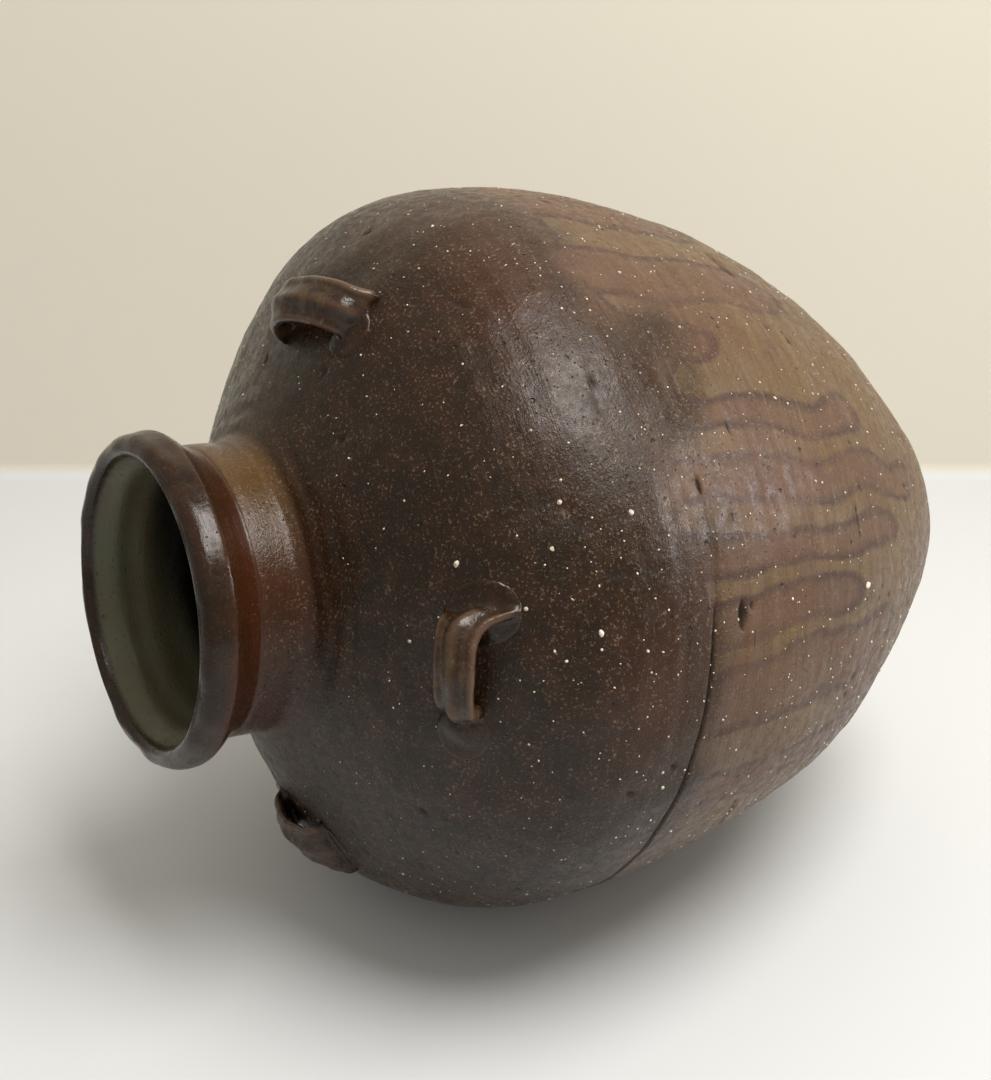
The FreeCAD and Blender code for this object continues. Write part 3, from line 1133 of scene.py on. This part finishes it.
def one_sided(name, colour):
    """A plain surface for the stage that can only be seen from its front."""
    paint = Paint(name)
    paint.feed(paint.shader.inputs["Base Color"], colour)
    paint.feed(paint.shader.inputs["Roughness"], 0.85)
    clear = paint.node("ShaderNodeBsdfTransparent")
    mix = paint.node("ShaderNodeMixShader")
    paint.feed(mix.inputs[0], paint.node("ShaderNodeNewGeometry").outputs["Backfacing"])
    paint.feed(mix.inputs[1], paint.shader.outputs[0])
    paint.feed(mix.inputs[2], clear.outputs[0])
    paint.feed(paint.output.inputs["Surface"], mix.outputs[0])
    return paint.material


# ---------- pieces in the frame

pot = build_pot()
lugs = {name: build_lug(name) for name in lug_turns}
clay_pieces = {**pot, **lugs}
grains = build_grains()

materials = {
    "foot_clay": foot_clay(),
    "body_glaze": glaze("body_glaze", 0.30, 1.0),
    "neck_glaze": glaze("neck_glaze", 0.18, 1.0),
    "rim_glaze": glaze("rim_glaze", 0.18, 0.25),
    "lug_glaze": lug_glaze(),
}
slot_of = {part["node"]: part["material_slot"] for part in frame["record"]["subparts"]}

for node, piece in clay_pieces.items():
    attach(piece, "root")
    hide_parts(node)
    piece.data.materials.append(materials[slot_of[node]])

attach(grains, "root")
grains.data.materials.append(grain_material())

# ---------- stage

# The floor that the jar lies on leans against its belly, so it isn't the frame's own floor.
floor_up = Vector((0.991, -0.095, 0.095)).normalized()
camera_place = Vector((0.2113, -0.5779, 0.5889))
camera_azimuth = math.radians(19.26)
camera_elevation = math.radians(30.74)
camera_roll = math.radians(-98.29)
backdrop_distance = 0.40
backdrop_height = 2.2
floor_reach = 1.6
stage_half_width = 2.2
cove_radius = 0.012
cove_steps = 12
floor_colour = (0.65, 0.67, 0.69)
wall_colour = (0.70, 0.665, 0.575)
light_distance = 1.5


def lowest_along(direction):
    """How far the visual model reaches against a direction."""
    lowest = math.inf
    for piece in clay_pieces.values():
        points = np.empty(len(piece.data.vertices) * 3)
        piece.data.vertices.foreach_get("co", points)
        lowest = min(lowest, float((points.reshape(-1, 3) @ np.array(direction)).min()))
    return lowest


def camera_axes():
    """The camera's right, up and back directions."""
    level = Vector((math.cos(camera_azimuth), math.sin(camera_azimuth), 0))
    outwards = Vector((level.y, -level.x, 0))
    back = outwards * math.cos(camera_elevation)
    back.z = math.sin(camera_elevation)
    upright = back.cross(level)
    right = level * math.cos(camera_roll) + upright * math.sin(camera_roll)
    return right, back.cross(right), back


def build_stage():
    """A pale floor that curves up into a plain wall behind the jar."""
    _, _, back = camera_axes()
    away = -(back - floor_up * back.dot(floor_up)).normalized()
    side = away.cross(floor_up)
    base = floor_up * (lowest_along(floor_up) - 0.2 * MM)
    cove_start = backdrop_distance - cove_radius
    profile = [(-floor_reach, 0.0), (cove_start, 0.0)]
    for k in range(1, cove_steps + 1):
        a = math.pi / 2 * k / cove_steps
        profile.append((cove_start + cove_radius * math.sin(a), cove_radius * (1 - math.cos(a))))
    profile.append((backdrop_distance, backdrop_height))
    vertices, faces = [], []
    for reach, lift in profile:
        for across in (-stage_half_width, stage_half_width):
            vertices.append(base + away * reach + floor_up * lift + side * across)
    for k in range(len(profile) - 1):
        faces.append((2 * k, 2 * k + 1, 2 * k + 3, 2 * k + 2))
    mesh = bpy.data.meshes.new("stage_floor")
    mesh.from_pydata(vertices, [], faces)
    mesh.polygons.foreach_set("use_smooth", [True] * len(faces))
    mesh.materials.append(one_sided("stage_floor", floor_colour))
    mesh.materials.append(one_sided("stage_wall", wall_colour))
    made = new_object("stage_floor", mesh)
    for polygon in mesh.polygons:
        polygon.material_index = int(polygon.index > len(faces) // 2)
    if mesh.polygons[0].normal.dot(floor_up) < 0:
        mesh.flip_normals()
    return made


def add_camera():
    """The photograph's viewpoint, with the jar's axis nearly level in the picture."""
    data = bpy.data.cameras.new("camera")
    data.lens = 50
    data.sensor_width = 36
    made = new_object("camera", data)
    right, up, back = camera_axes()
    turn = Matrix((right, up, back)).transposed()
    made.matrix_world = Matrix.Translation(camera_place) @ turn.to_4x4()
    bpy.context.scene.camera = made
    return made


def add_light(name, direction, size, watts, colour):
    """A round soft light that looks at the middle of the jar."""
    data = bpy.data.lights.new(name, "AREA")
    data.shape = "DISK"
    data.size = size
    data.energy = watts
    data.color = colour
    made = new_object(name, data)
    towards = Vector(direction).normalized()
    made.location = Vector((0, 0, 0.5 * jar_height)) + towards * light_distance
    made.rotation_euler = towards.to_track_quat("Z", "Y").to_euler()
    return made


floor = build_stage()
camera = add_camera()
ceiling_light = add_light("ceiling_light", (0.87, -0.48, -0.03), 0.90, 32, (1.0, 0.97, 0.92))
low_light = add_light("low_light", (0.36, -0.65, -0.67), 0.45, 13, (0.97, 0.98, 1.0))

# The low light shines on the jar only: the photograph's floor has no long shadow from it.
unlit = bpy.data.collections.new("unlit")
unlit.objects.link(floor)
unlit.collection_objects[0].light_linking.link_state = "EXCLUDE"
low_light.light_linking.receiver_collection = unlit


# How high a direction points above the floor, and how bright the world is there.
world_strength = {"From Min": -0.2, "From Max": 0.9, "To Min": 0.44, "To Max": 0.80}


def build_world():
    """Soft light from all round, brighter from above the floor that the jar lies on."""
    world = bpy.data.worlds.new("world")
    world.use_nodes = True
    tree = world.node_tree
    background = tree.nodes["Background"]
    place = tree.nodes.new("ShaderNodeTexCoord")
    rise = tree.nodes.new("ShaderNodeVectorMath")
    rise.operation = "DOT_PRODUCT"
    rise.inputs[1].default_value = floor_up
    strength = tree.nodes.new("ShaderNodeMapRange")
    for key, value in world_strength.items():
        strength.inputs[key].default_value = value
    tree.links.new(place.outputs["Generated"], rise.inputs[0])
    tree.links.new(rise.outputs["Value"], strength.inputs["Value"])
    tree.links.new(strength.outputs[0], background.inputs["Strength"])
    background.inputs["Color"].default_value = (1.0, 0.94, 0.85, 1)
    bpy.context.scene.world = world


build_world()
bpy.context.scene.view_settings.view_transform = "Standard"
bpy.context.scene.view_settings.exposure = -0.32
